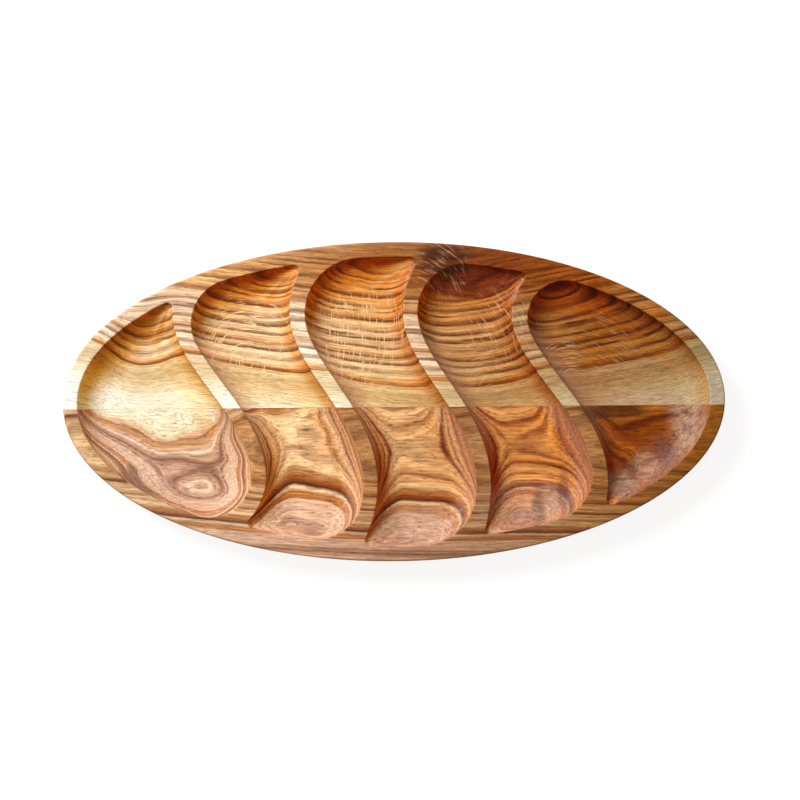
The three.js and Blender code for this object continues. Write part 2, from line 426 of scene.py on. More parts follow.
@dataclass
class CarvedBlank:
    """The whole tray as one closed mesh, before it is parted along its glue joint."""

    form: TrayForm
    mesh: bmesh.types.BMesh = field(default_factory=bmesh.new)

    def ring(self, flat: np.ndarray, heights: np.ndarray) -> Loop:
        """Adds a closed ring of points.

        Args:
            flat: The points' x and y.
            heights: One height for all of them, or one each.

        Returns:
            The ring's vertices.
        """
        heights = np.broadcast_to(heights, len(flat))
        return [self.mesh.verts.new((x * MM, y * MM, z * MM)) for (x, y), z in zip(flat, heights)]

    def skin(self, rings: Sequence[Loop]) -> None:
        """Joins rings of equal length by bands of four-sided faces."""
        for near, far in zip(rings, rings[1:]):
            for k in range(len(near)):
                self.mesh.faces.new((near[k - 1], near[k], far[k], far[k - 1]))

    def cap(self, outer: Loop, holes: Sequence[Loop] = ()) -> None:
        """Fills a ring with triangles, leaving out the rings inside it.

        Args:
            outer: The ring to fill.
            holes: Rings inside it that stay open.
        """
        loops = [np.array([v.co[:2] for v in loop]) / MM for loop in (outer, *holes)]
        verts = [v for loop in (outer, *holes) for v in loop]
        edges = []
        for loop in loops:
            first = len(edges)
            edges += [(first + k, first + (k + 1) % len(loop)) for k in range(len(loop))]
        flat = np.concatenate(loops)
        faces = np.array(geometry.delaunay_2d_cdt([Vector(p) for p in flat], edges, [], 1, TINY)[2])
        middles = flat[faces].mean(1)
        open_air = np.zeros(len(faces), bool)
        for loop in loops[1:]:
            open_air |= inside(middles, loop)
        for face in faces[~open_air]:
            self.mesh.faces.new([verts[k] for k in face])

    def carve(self, index: int) -> Loop:
        """Makes one pocket, from the flat top over its edge and down its wall to its floor.

        Args:
            index: Which pocket, from the left.

        Returns:
            The ring that the pocket leaves open in the flat top.
        """
        form, walls = self.form, self.form.walls(index)
        rings = [self.ring(walls.points - walls.inward * (form.lip + form.lip_margin), form.thickness)]
        for turn in np.linspace(0, math.pi / 2, form.lip_steps + 1)[:-1]:
            out, drop = form.lip * (1 - math.sin(turn)), form.lip * (1 - math.cos(turn))
            rings.append(self.ring(walls.points - walls.inward * out, form.thickness - drop))
        start = np.arcsin(form.lip / walls.depth)
        for step in np.linspace(0, 1, form.wall_steps + 1):
            turn = start + (math.pi / 2 - start) * step
            inset = walls.width * (1 - np.cos(turn))
            flat = walls.points + walls.inward * inset[:, None]
            rings.append(self.ring(flat, form.thickness - walls.depth * np.sin(turn)))
        self.skin(rings)
        self.cap(rings[-1])
        return rings[0]

    def build(self) -> bmesh.types.BMesh:
        """Makes the whole blank: the outer edge, the underside, the pockets and the flat top.

        Returns:
            The closed mesh.
        """
        form = self.form
        count = math.ceil(math.pi * (form.length + form.width) / 2 / form.spacing)
        angles = 2 * math.pi * np.arange(count) / count
        quarter = np.linspace(0, math.pi / 2, form.edge_steps + 1)
        profile = [(form.top_round * (1 - math.sin(t)), form.thickness - form.top_round * (1 - math.cos(t)))
                   for t in quarter]
        profile += [(form.bottom_round * (1 - math.cos(t)), form.bottom_round * (1 - math.sin(t)))
                    for t in quarter]
        outer, inward = form.oval(0).point(angles), form.oval(0).inward(angles)
        rings = [self.ring(outer + inward * inset, height) for inset, height in profile]
        self.skin(rings)
        self.cap(rings[-1])
        self.cap(rings[0], [self.carve(k) for k in range(len(form.pockets))])
        bmesh.ops.recalc_face_normals(self.mesh, faces=self.mesh.faces[:])
        return self.mesh


@dataclass(frozen=True)
class Fade:
    """A smooth step, from low at start to high at end."""

    start: float
    end: float
    low: float = 0.0
    high: float = 1.0

    def to(self, low: float, high: float) -> "Fade":
        """Gives the same step between other values."""
        return Fade(self.start, self.end, low, high)


@dataclass(frozen=True)
class Speckle:
    """Smooth noise: its spots' size along three axes, and how many finer layers it has and how strong."""

    size: tuple[float, float, float]
    detail: float = 1.0
    rough: float = 0.5


@dataclass(frozen=True)
class Spot:
    """An oval place on the tray: its middle, and its reach along and across the tray."""

    x: float
    y: float
    half_length: float
    half_width: float


@dataclass
class NodeSheet:
    """A node tree, with short calls that add a node, set it and wire its inputs."""

    tree: bpy.types.NodeTree

    def node(self, kind: str, inputs: dict | None = None, **settings: object) -> bpy.types.Node:
        """Adds a node.

        Args:
            kind: The node's type, without its leading ShaderNode.
            inputs: What goes into its sockets, by name or number: a value, a colour or another socket.
            **settings: Its properties.

        Returns:
            The node.
        """
        node = self.tree.nodes.new("ShaderNode" + kind)
        for name, value in settings.items():
            setattr(node, name, value)
        for name, value in (inputs or {}).items():
            self.feed(node.inputs[name], value)
        return node

    def feed(self, socket: Socket, value: object) -> None:
        """Wires a socket into an input, or sets the input to a value.

        Args:
            socket: The input.
            value: A socket, a number, a vector or a colour.
        """
        if isinstance(value, bpy.types.NodeSocket):
            self.tree.links.new(value, socket)
        elif socket.type == "RGBA" and len(value) == 3:
            socket.default_value = (*value, 1.0)
        else:
            socket.default_value = value

    def math(self, operation: str, *values: object, clamp: bool = False) -> Socket:
        """Adds a sum on numbers and gives its result."""
        inputs = dict(enumerate(values))
        return self.node("Math", inputs, operation=operation, use_clamp=clamp).outputs[0]

    def product(self, *values: object) -> Socket:
        """Multiplies numbers."""
        return reduce(lambda so_far, value: self.math("MULTIPLY", so_far, value), values)

    def vector(self, operation: str, *values: object) -> Socket:
        """Adds a sum on vectors and gives its result, which is a number for a length or a distance."""
        node = self.node("VectorMath", dict(enumerate(values)), operation=operation)
        return node.outputs["Value" if operation in ("LENGTH", "DISTANCE") else "Vector"]

    def parts(self, vector: Socket) -> Sequence[Socket]:
        """Gives a vector's x, y and z."""
        return self.node("SeparateXYZ", {0: vector}).outputs

    def tray_place(self) -> Socket:
        """Gives each point's place on the tray, in millimetres."""
        return self.vector("MULTIPLY", self.node("TexCoord").outputs["Object"], (1 / MM,) * 3)

    def distance(self, place: Socket, x: float, y: float) -> Socket:
        """Gives a point's distance from a place on the tray, seen from above."""
        return self.vector("DISTANCE", self.vector("MULTIPLY", place, (1.0, 1.0, 0.0)), (x, y, 0.0))

    def reach(self, place: Socket, spot: Spot) -> Socket:
        """Gives a point's distance from the middle of a spot, as a share of its reach."""
        away = self.vector("SUBTRACT", place, (spot.x, spot.y, 0.0))
        away = self.vector("MULTIPLY", away, (1 / spot.half_length, 1 / spot.half_width, 0.0))
        return self.vector("LENGTH", away)

    def noise(self, place: Socket, speckle: Speckle, across: Socket | None = None) -> Socket:
        """Adds smooth noise.

        Args:
            place: The point, in millimetres.
            speckle: The noise.
            across: A further number that it changes with, if any.

        Returns:
            The noise, from 0 to 1 about one half.
        """
        scaled = self.vector("MULTIPLY", place, [1 / size for size in speckle.size])
        inputs = {"Vector": scaled, "Scale": 1.0, "Detail": speckle.detail, "Roughness": speckle.rough}
        dimensions = "3D"
        if across is not None:
            inputs["W"] = across
            dimensions = "4D"
        return self.node("TexNoise", inputs, noise_dimensions=dimensions).outputs[0]

    def fade(self, value: Socket, step: Fade) -> Socket:
        """Turns a value into a smooth step."""
        inputs = dict(zip(("Value", "From Min", "From Max", "To Min", "To Max"), (value, *astuple(step))))
        return self.node("MapRange", inputs, interpolation_type="SMOOTHSTEP").outputs[0]

    def ramp(self, value: Socket, stops: Sequence[tuple[float, Colour]]) -> Socket:
        """Turns a value into a colour.

        Args:
            value: A number.
            stops: Values and their colours, in order.

        Returns:
            The colour.
        """
        start, end = stops[0][0], stops[-1][0]
        share = self.node("MapRange", {"Value": value, "From Min": start, "From Max": end}).outputs[0]
        node = self.node("ValToRGB", {"Fac": share})
        elements = node.color_ramp.elements
        while len(elements) < len(stops):
            elements.new(1.0)
        for element, (stop, colour) in zip(elements, stops):
            element.position = (stop - start) / (end - start)
            element.color = (*colour, 1.0)
        return node.outputs[0]

    def mix(self, share: object, first: object, second: object, blend: str = "MIX") -> Socket:
        """Mixes two colours and gives the result."""
        inputs = {0: share, 6: first, 7: second}
        return self.node("Mix", inputs, data_type="RGBA", blend_type=blend).outputs[2]

    def seen(self) -> Socket:
        """Tells whether a ray shows the surface to the camera, directly, in a reflection or through glass.

        Returns:
            1 for such a ray, and 0 for one that lights the scene.
        """
        path = self.node("LightPath").outputs
        mirrored = self.math("ADD", path["Is Camera Ray"], path["Is Glossy Ray"])
        return self.math("ADD", mirrored, path["Is Transmission Ray"], clamp=True)

    def output(self, shader: bpy.types.Node) -> None:
        """Wires a shader to a material's output."""
        self.node("OutputMaterial", {"Surface": shader.outputs[0]})


def new_material(name: str) -> bpy.types.Material:
    """Makes a material whose node tree is empty.

    Args:
        name: The material's name.

    Returns:
        The material.
    """
    material = bpy.data.materials.new(name)
    material.use_nodes = True
    material.node_tree.nodes.clear()
    return material


@dataclass(frozen=True)
class Growth:
    """How the growth rings of a board lie around the trunk's pith, which runs beside the board.

    Attributes:
        pith_y, pith_z: Where the pith runs, level with the tray's middle.
        dip: How steeply the pith climbs along the tray.
        bow: How steeply it leans away from the tray's length on either side of bow_x.
        bow_x, bow_round: Where the lean turns round, and how gently.
        wander: How far the rings wave along the board.
        tooth: How far a ring's edge is frayed along the fibres.
        year: Distance from one year's ring to the next.
    """

    pith_y: float
    pith_z: float
    dip: float
    bow: float
    bow_x: float
    bow_round: float
    wander: float = 1.0
    tooth: float = 0.5
    year: float = 2.5


@dataclass(frozen=True)
class Layer:
    """The colour of the wood at one distance from the pith."""

    radius: float
    colour: str


@dataclass(frozen=True)
class Ring:
    """A bold growth ring: its distance from the pith, its width and how dark it is."""

    radius: float
    width: float
    strength: float

    def stops(self) -> list[tuple[float, Colour]]:
        """Gives the ring's greys, which rise slowly from the pith's side and fall off fast."""
        steps = ((-self.width, 0.0), (0.0, self.strength), (self.width / FALL_OFF, 0.0))
        return [(self.radius + aside, (grey,) * 3) for aside, grey in steps]


@dataclass(frozen=True)
class OilAndLight:
    """What the wood is multiplied by at one place along the tray: partly the darkening of oiling and age,
    and partly painted light, brighter towards the left end.

    Attributes:
        x: The place.
        pocket, top: The tint in the pockets, and on the flat top and the outer edge, where its greyer tone
            is partly planed wood and partly a painted sheen.
        wall: A further tint where the carving cuts steeply across the fibres: partly end grain soaking up
            more finish, and partly painted shade on walls turned from the lamp.
        rim: A further tint on the rim at the back.
    """

    x: float
    pocket: Colour
    top: Colour
    wall: Colour
    rim: Colour = (1.0, 1.0, 1.0)


@dataclass(frozen=True)
class Scratches:
    """Fine pale scratches that a turning tool left in the wood.

    Attributes:
        x, y, reach: Where they lie, and how far they spread.
        centre_x, centre_y: The centre of the circles that they follow.
        share: How much they cover the wood under them.
    """

    x: float
    y: float
    reach: float
    centre_x: float
    centre_y: float
    share: float


@dataclass(frozen=True)
class Swell(Spot):
    """A place where the rings are pushed aside, and how far."""

    push: float


@dataclass(frozen=True)
class Patch(Spot):
    """A ragged patch of other wood, such as a knot or a corner of sapwood, or a pale patch of painted
    sheen.

    Attributes:
        colour, spots: Its colour, and that of its spots.
        swirl: How far it pushes the rings aside.
        share: How much it covers the wood under it.
        blend: How gently its edge fades.
        last_ring: Distance from the pith of the ring that it ends at.
        top: How much of it the flat top shows.
    """

    colour: str
    spots: str
    swirl: float = 0.0
    share: float = 0.75
    blend: float = 0.25
    last_ring: float = 1000.0
    top: float = 1.0


@dataclass(frozen=True)
class WoodFinish:
    """An oiled board, shaded through its whole depth by its growth rings.

    Attributes:
        name: The material's name.
        growth: How its rings lie.
        layers: Its colours, from the pith outwards.
        rings, ring_tint: Its boldest rings, and what their lines multiply the wood under them by.
        oil_and_light: How it darkens along the tray, partly with oiling and age and partly with painted
            light.
        patches: Its knot, its corner of sapwood and other patches, some of them pale patches of painted
            sheen.
        swells, top_swell: Where its rings are pushed aside, and how much of that its flat top shows.
        scratches, scratch_colour: The scratches in it, and their colour.
        sheen_colour, sheen_share: Colour of the painted sheen where the carving rises towards the back and
            faces the lamp, and how strongly it covers the wood.
        right_wall_sheen: How strongly it covers a pocket's right wall, which also faces the lamp.
        year_share: How dark the rings of the other years are.
        sap_radius, sap_tint_share: Distance from the pith at which young wood starts, and its share of the
            tint along the tray.
        right_wall: How much of the wall tint a pocket's right wall takes, which faces the lamp and so takes
            less painted shade.
        front_wall_shade, edge: Painted shade that the wood is multiplied by where the carving falls towards
            the
        front, away from the lamp, and further painted shade where it falls steeply.
        plain, calm: Colour that its flat top tends to, and how far.
        quiet: How much fainter the rings are on its flat top.
        streak, pore: How far the streaks along the grain lighten and darken it, and the pores darken it.
        polished, open_grain: Roughness of its polished and of its open grain.
        gloss: Strength of its shine.
        bump, relief: Strength and height of its relief.
    """

    name: str
    growth: Growth
    layers: tuple[Layer, ...]
    rings: tuple[Ring, ...]
    ring_tint: str
    oil_and_light: tuple[OilAndLight, ...]
    patches: tuple[Patch, ...]
    swells: tuple[Swell, ...]
    top_swell: float = 1.0
    scratches: tuple[Scratches, ...] = ()
    scratch_colour: str = "f4d4a0"
    sheen_colour: str = "c8a087"
    sheen_share: float = 0.4
    right_wall_sheen: float = 0.0
    year_share: float = 0.95
    sap_radius: float = 1000.0
    sap_tint_share: float = 0.75
    right_wall: float = 0.75
    front_wall_shade: Colour = (1.12, 0.8, 0.28)
    edge: Colour = (0.66, 0.46, 0.36)
    plain: str = "e0b488"
    calm: float = 0.0
    quiet: float = 0.1
    streak: float = 0.32
    pore: float = 0.6
    polished: float = 0.36
    open_grain: float = 0.48
    gloss: float = 0.1
    bump: float = 0.12
    relief: float = 0.4

    def material(self) -> bpy.types.Material:
        """Makes the board's material.

        Returns:
            The material.
        """
        material = new_material(self.name)
        WoodShader(material.node_tree, self).draw()
        return material


# Steps by height, from the table up
ABOVE_BASE = Fade(5.0, 7.0)
TOP = Fade(18.0, 19.9)
PATCH_TOP = Fade(19.0, 19.9)
UNDER_TOP = Fade(19.95, 19.2)
SHEEN_BELOW_TOP = Fade(20.0, 19.0)
# Steps along and across the tray, and by the share of its oval that lies inside a point
# The painted sheen weakens towards the right end
SHEEN_TOWARDS_RIGHT_END = Fade(90.0, 150.0, 1.0, 0.45)
BACK_RIM = Fade(50.0, 75.0)
INSIDE_EDGE = Fade(0.968, 0.96)
# Steps by the surface's slope: how level it is, how far it rises to the back, and how far it faces aside
# These slopes place painted shade on walls turned from the lamp and a painted sheen on walls that face it
STEEP = Fade(1.0, 0.78)
RISING = Fade(0.08, 0.45)
RISING_WALL = Fade(0.05, 0.35, 1.0, 0.3)
FALLING = Fade(0.0, -0.28)
FALLING_STEEPLY = Fade(-0.3, -0.75)
OFF_RIGHT_WALL = Fade(-0.25, 0.1)
CLEAR_OF_RIGHT_WALL = Fade(-0.3, -0.1)
RIGHT_WALL = Fade(-0.1, -0.5)
# The rings' waves and their heights as shares of the wander, their torn edges, swirls and swells
WAVES = ((Speckle((60, 25, 25)), 2.0), (Speckle((17, 6, 6), 2), 1.0), (Speckle((7, 6, 6)), 0.6))
NOISE_MIDDLE = 0.5
TOOTH = Speckle((0.8, 5, 5))
SWIRL = Speckle((11, 7, 7), 2)
SWIRL_MIDDLE = 0.4
SWELLING = Fade(1.0, 0.0)
# The year rings: how their spacing drifts, where the late wood lies in a year, and how strong each one is
DRIFT = 2.0
DRIFT_SIZE = 9.0
LATE_WOOD = Fade(0.25, 0.8)
WINTER = Fade(1.0, 0.92)
YEAR_STRENGTH = Fade(0.0, 0.8)
LEAST_YEAR = 0.2
# How the bold rings swell, and how the rings come and go along the board
BEFORE_RINGS = 9
FALL_OFF = 3
RING_SWELL = 0.6
SHOWING = Fade(0.36, 0.6)
BOLD_GAPS = Speckle((45, 3, 9))
LEAST_BOLD = 0.5
YEAR_GAPS = Speckle((28, 2, 5))
LEAST_FAINT = 0.3
# The edge of the tint along the tray at the young wood, in millimetres on either side
SAP_INNER = 3
SAP_OUTER = 2
# The patches' ragged edges and their spots
RAGGED = Speckle((30, 4, 8), 3)
RAGGED_HEIGHT = 0.9
PATCH_EDGE = 1.45
LAST_RING_BLUR = 1
PATCH_SPOTS = Speckle((14, 2.5, 5), 3)
SPOTTED = Fade(0.45, 0.65)
# The scratches: where they break off, and the distance between them
SCRATCH_BREAKS = Speckle((9, 9, 9))
SCRATCHED = Fade(0.54, 0.68)
SCRATCH_PITCH = 0.9
SCRATCH_CORE = 0.5
# The grain's streaks and pores
STREAKS = Speckle((26, 0.5, 1.4), 3, 0.65)
STREAKED = Fade(0.3, 0.7)
PORES = Speckle((6, 0.3, 0.7))
PORED = Fade(0.6, 0.72)
PORE_DEPTH = 0.5
FULL_HEIGHT = Fade(0.0, 1.0)
BLANK = Spot(0.0, 0.0, *(CAD_BOX[1].xy / MM))


@dataclass
class WoodShader(NodeSheet):
    """Draws a board's wood, layer over layer, from its growth rings to its pores."""

    wood: WoodFinish

    def __post_init__(self) -> None:
        """Works out what the layers go by: place, slope, patches and distance from the pith."""
        self.place = self.tray_place()
        self.x, self.y, self.z = self.parts(self.place)
        self.aside, self.rising, self.level = self.parts(self.node("TexCoord").outputs["Normal"])
        self.top = self.fade(self.z, TOP)
        self.carved = self.fade(self.reach(self.place, BLANK), INSIDE_EDGE)
        self.below = self.product(self.fade(self.z, UNDER_TOP), self.carved)
        self.spots = [self.patch_share(patch) for patch in self.wood.patches]
        self.radius = self.ring_radius()
        self.along = self.node("CombineXYZ", {0: self.x, 1: self.radius, 2: self.y}).outputs[0]
        stops = [(layer.radius, linear(layer.colour)) for layer in self.wood.layers]
        self.colour = self.ramp(self.radius, stops)

    def draw(self) -> None:
        """Draws the layers and wires the shader."""
        wood = self.wood
        self.cover(self.product(self.top, wood.calm), linear(wood.plain))
        plain = self.colour
        self.draw_rings()
        self.cover(self.product(self.top, wood.quiet), plain)
        self.oil_and_light()
        self.darken_walls()
        self.draw_patches()
        self.paint_sheen()
        self.scratch()
        height = self.draw_grain()
        bump = self.node("Bump", {"Strength": wood.bump, "Distance": wood.relief * MM, "Height": height})
        self.output(self.node("BsdfPrincipled", {
            "Base Color": self.colour,
            "Roughness": self.fade(height, FULL_HEIGHT.to(wood.open_grain, wood.polished)),
            "Normal": bump.outputs[0],
            "Specular IOR Level": wood.gloss,
        }))

    def cover(self, share: object, colour: object) -> None:
        """Covers the wood with a share of a colour."""
        self.colour = self.mix(share, self.colour, colour)

    def stain(self, share: object, tint: object) -> None:
        """Multiplies the wood by a share of a tint."""
        self.colour = self.mix(share, self.colour, tint, "MULTIPLY")

    def tint(self, part: Callable[[OilAndLight], Colour]) -> Socket:
        """Adds one of the tints along the tray, which are partly painted light."""
        return self.ramp(self.x, [(oil_and_light.x, part(oil_and_light)) for oil_and_light in self.wood.oil_and_light])

    def patch_share(self, patch: Patch) -> Socket:
        """Adds how far each point lies inside a patch, with a ragged edge.

        Args:
            patch: The patch.

        Returns:
            The share of the patch's wood, from 0 to 1.
        """
        away = self.reach(self.place, patch)
        ragged = self.math("MULTIPLY_ADD", self.noise(self.place, RAGGED), RAGGED_HEIGHT, away)
        share = self.fade(ragged, Fade(PATCH_EDGE + patch.blend, PATCH_EDGE - patch.blend))
        return self.product(share, self.fade(self.z, PATCH_TOP.to(patch.share, patch.share * patch.top)))

    def ring_radius(self) -> Socket:
        """Adds each point's distance from the pith, with the rings' lean, waves and swells.

        Returns:
            The distance, in millimetres.
        """
        growth = self.wood.growth
        from_bow = self.math("SUBTRACT", self.x, growth.bow_x)
        rounded = self.math("SQRT", self.math("MULTIPLY_ADD", from_bow, from_bow, growth.bow_round ** 2))
        start = growth.pith_y - growth.bow * growth.bow_round
        across = self.math("SUBTRACT", self.y, self.math("MULTIPLY_ADD", rounded, growth.bow, start))
        up = self.math("SUBTRACT", self.math("MULTIPLY_ADD", self.x, -growth.dip, self.z), growth.pith_z)
        radius = self.math("SQRT", self.math("MULTIPLY_ADD", across, across, self.product(up, up)))
        waves = [(wave, share * growth.wander) for wave, share in WAVES]
        for wave, height in (*waves, (TOOTH, growth.tooth)):
            swing = self.math("SUBTRACT", self.noise(self.place, wave), NOISE_MIDDLE)
            radius = self.math("MULTIPLY_ADD", swing, height, radius)
        for patch, spot in zip(self.wood.patches, self.spots):
            if patch.swirl:
                swirl = self.math("SUBTRACT", self.noise(self.place, SWIRL), SWIRL_MIDDLE)
                radius = self.math("MULTIPLY_ADD", self.product(swirl, spot), patch.swirl, radius)
        full = self.fade(self.z, TOP.to(1.0, self.wood.top_swell))
        for swell in self.wood.swells:
            near = self.product(self.fade(self.reach(self.place, swell), SWELLING), full)
            radius = self.math("MULTIPLY_ADD", near, swell.push, radius)
        return radius

    def draw_rings(self) -> None:
        """Draws the bold rings, and those of the other years between them."""
        wood, radius = self.wood, self.radius
        stops = [(wood.rings[0].radius - BEFORE_RINGS, (0.0,) * 3)]
        for ring in wood.rings:
            stops += ring.stops()
        bold = self.math("POWER", self.ramp(radius, stops), RING_SWELL)
        bold = self.product(bold, self.showing(BOLD_GAPS, LEAST_BOLD))
        inputs = {"W": radius, "Scale": 1 / DRIFT_SIZE, "Detail": 0.0}
        drift = self.product(self.node("TexNoise", inputs, noise_dimensions="1D").outputs[0], DRIFT)
        years = self.math("MULTIPLY_ADD", radius, 1 / wood.growth.year, drift)
        late = self.math("FRACT", years)
        inputs = {"W": self.math("FLOOR", years)}
        own = self.node("TexWhiteNoise", inputs, noise_dimensions="1D").outputs["Value"]
        faint = self.product(
            self.fade(late, LATE_WOOD),
            self.fade(late, WINTER),
            self.fade(own, YEAR_STRENGTH.to(LEAST_YEAR, wood.year_share)),
            self.fade(radius, Fade(wood.sap_radius, wood.sap_radius + SAP_OUTER, 1.0, LEAST_YEAR)),
            self.showing(YEAR_GAPS, LEAST_FAINT),
        )
        self.stain(self.math("MAXIMUM", bold, faint), linear(wood.ring_tint))

    def showing(self, gaps: Speckle, least: float) -> Socket:
        """Adds how strongly a ring shows, which comes and goes along the board."""
        return self.fade(self.noise(self.along, gaps), SHOWING.to(least, 1.0))

    def oil_and_light(self) -> None:
        """Tints the wood along the tray, in its pockets and on its planed faces: partly darkening by oiling
        and age, and partly painted light.
        """
        sap = self.wood.sap_radius
        rim = self.tint(lambda oil_and_light: oil_and_light.rim)
        top = self.mix(self.fade(self.y, BACK_RIM), self.tint(lambda oil_and_light: oil_and_light.top), rim, "MULTIPLY")
        planed = self.math("MAXIMUM", self.top, self.math("SUBTRACT", 1.0, self.carved))
        share = self.fade(self.radius, Fade(sap - SAP_INNER, sap + SAP_OUTER, 1.0, self.wood.sap_tint_share))
        self.stain(share, self.mix(planed, self.tint(lambda oil_and_light: oil_and_light.pocket), top))

    def darken_walls(self) -> None:
        """Darkens the walls: partly end grain where the carving cuts across the fibres, and partly painted
        shade on walls turned from the lamp and falling towards the front.
        """
        # End grain and painted shade: the tint is full on steep walls turned from the lamp, and weaker on
        # right walls and lower ends, which face it
        steep = self.product(
            self.fade(self.level, STEEP),
            self.fade(self.aside, OFF_RIGHT_WALL.to(self.wood.right_wall, 1.0)),
            self.fade(self.rising, RISING_WALL),
            self.below,
        )
        self.stain(steep, self.tint(lambda oil_and_light: oil_and_light.wall))
        clear = self.fade(self.aside, CLEAR_OF_RIGHT_WALL)
        # Painted shade on walls that fall towards the front, away from the lamp
        self.stain(self.product(self.fade(self.rising, FALLING), clear, self.below), self.wood.front_wall_shade)
        # Deeper painted shade where they fall steeply
        self.stain(self.product(self.fade(self.rising, FALLING_STEEPLY), self.below), self.wood.edge)

    def draw_patches(self) -> None:
        """Colours the patches."""
        spotted = self.fade(self.noise(self.along, PATCH_SPOTS), SPOTTED)
        for patch, spot in zip(self.wood.patches, self.spots):
            ended = self.fade(self.radius, Fade(patch.last_ring + LAST_RING_BLUR, patch.last_ring))
            colour = self.mix(spotted, linear(patch.colour), linear(patch.spots))
            self.cover(self.product(spot, ended), colour)

    def paint_sheen(self) -> None:
        """Paints a pale sheen on the walls that face the lamp: the pockets' lower ends and their right
        walls.
        """
        # Painted sheen: pale colour where the lamp's reflection falls on lower ends and right walls
        rising = self.fade(self.rising, RISING.to(0.0, self.wood.sheen_share))
        lower_end_sheen = self.product(rising, self.fade(self.z, SHEEN_BELOW_TOP), self.fade(self.x, SHEEN_TOWARDS_RIGHT_END), self.carved)
        right = self.product(self.below, self.fade(self.aside, RIGHT_WALL.to(0.0, self.wood.right_wall_sheen)))
        self.cover(self.math("MAXIMUM", lower_end_sheen, right), linear(self.wood.sheen_colour))

    def scratch(self) -> None:
        """Draws the pale scratches, in the pockets and on the flat top."""
        above = self.fade(self.z, ABOVE_BASE)
        for group in self.wood.scratches:
            away = self.distance(self.place, group.x, group.y)
            near = self.fade(away, Fade(group.reach, SCRATCH_CORE * group.reach))
            away = self.distance(self.place, group.centre_x, group.centre_y)
            lines = self.noise(self.place, SCRATCH_BREAKS, self.math("DIVIDE", away, SCRATCH_PITCH))
            lines = self.fade(lines, SCRATCHED.to(0.0, group.share))
            self.cover(self.product(lines, near, above), linear(self.wood.scratch_colour))

    def draw_grain(self) -> Socket:
        """Adds the fine streaks and pores that follow the rings along the board.

        Returns:
            The surface's height, from 0 to 1.
        """
        wood = self.wood
        streaks = self.noise(self.along, STREAKS)
        shade = self.fade(streaks, STREAKED.to(1 - wood.streak, 1 + wood.streak))
        self.stain(1.0, self.node("CombineColor", {0: shade, 1: shade, 2: shade}).outputs[0])
        pores = self.fade(self.noise(self.along, PORES), PORED)
        self.stain(self.product(pores, wood.pore), linear(wood.ring_tint))
        return self.math("SUBTRACT", streaks, self.product(pores, PORE_DEPTH))


@dataclass(frozen=True)
class GlueFinish:
    """Cured wood glue, amber and slightly cloudy.

    Attributes:
        name: The material's name.
        clouds: How its clouds lie.
        clear, cloudy: Its colours, with the noise that each stands at.
        roughness: How its roughness follows the clouds.
        bump, relief: Strength and height of its relief.
    """

    name: str = "cured_glue"
    clouds: Speckle = Speckle((14, 3, 3), 3)
    clear: tuple[float, str] = (0.35, "9a6a38")
    cloudy: tuple[float, str] = (0.7, "b98a55")
    roughness: Fade = Fade(0.3, 0.7, 0.45, 0.65)
    bump: float = 0.1
    relief: float = 0.1

    def material(self) -> bpy.types.Material:
        """Makes the glue's material.

        Returns:
            The material.
        """
        material = new_material(self.name)
        sheet = NodeSheet(material.node_tree)
        cloud = sheet.noise(sheet.tray_place(), self.clouds)
        bump = sheet.node("Bump", {"Strength": self.bump, "Distance": self.relief * MM, "Height": cloud})
        stops = [(at, linear(colour)) for at, colour in (self.clear, self.cloudy)]
        sheet.output(sheet.node("BsdfPrincipled", {
            "Base Color": sheet.ramp(cloud, stops),
            "Roughness": sheet.fade(cloud, self.roughness),
            "Normal": bump.outputs[0],
        }))
        return material


@dataclass(frozen=True)
class PaperFinish:
    """The studio's white paper, which keeps soft shadows and glows a little to the camera."""

    name: str = "studio_paper"
    sheet_colour: Colour = (0.26, 0.26, 0.26)
    glow: float = 0.86

    def material(self) -> bpy.types.Material:
        """Makes the paper's material.

        Returns:
            The material.
        """
        material = new_material(self.name)
        sheet = NodeSheet(material.node_tree)
        paper = sheet.node("BsdfDiffuse", {"Color": self.sheet_colour})
        strength = sheet.product(sheet.seen(), self.glow)
        glow = sheet.node("Emission", {"Color": (1, 1, 1), "Strength": strength})
        sheet.output(sheet.node("AddShader", {0: paper.outputs[0], 1: glow.outputs[0]}))
        return material


class Cut(Enum):
    """Which part of the blank a piece keeps."""

    BACK = "back"
    FRONT = "front"
    BETWEEN = "between"


def show(name: str, mesh: bmesh.types.BMesh, material: bpy.types.Material) -> bpy.types.Object:
    """Turns a mesh into an object of the scene, and frees the mesh.

    Args:
        name: The object's name.
        mesh: Its mesh.
        material: What it is dressed in.

    Returns:
        The object.
    """
    data = bpy.data.meshes.new(name)
    mesh.to_mesh(data)
    mesh.free()
    data.materials.append(material)
    made = bpy.data.objects.new(name, data)
    bpy.context.scene.collection.objects.link(made)
    return made


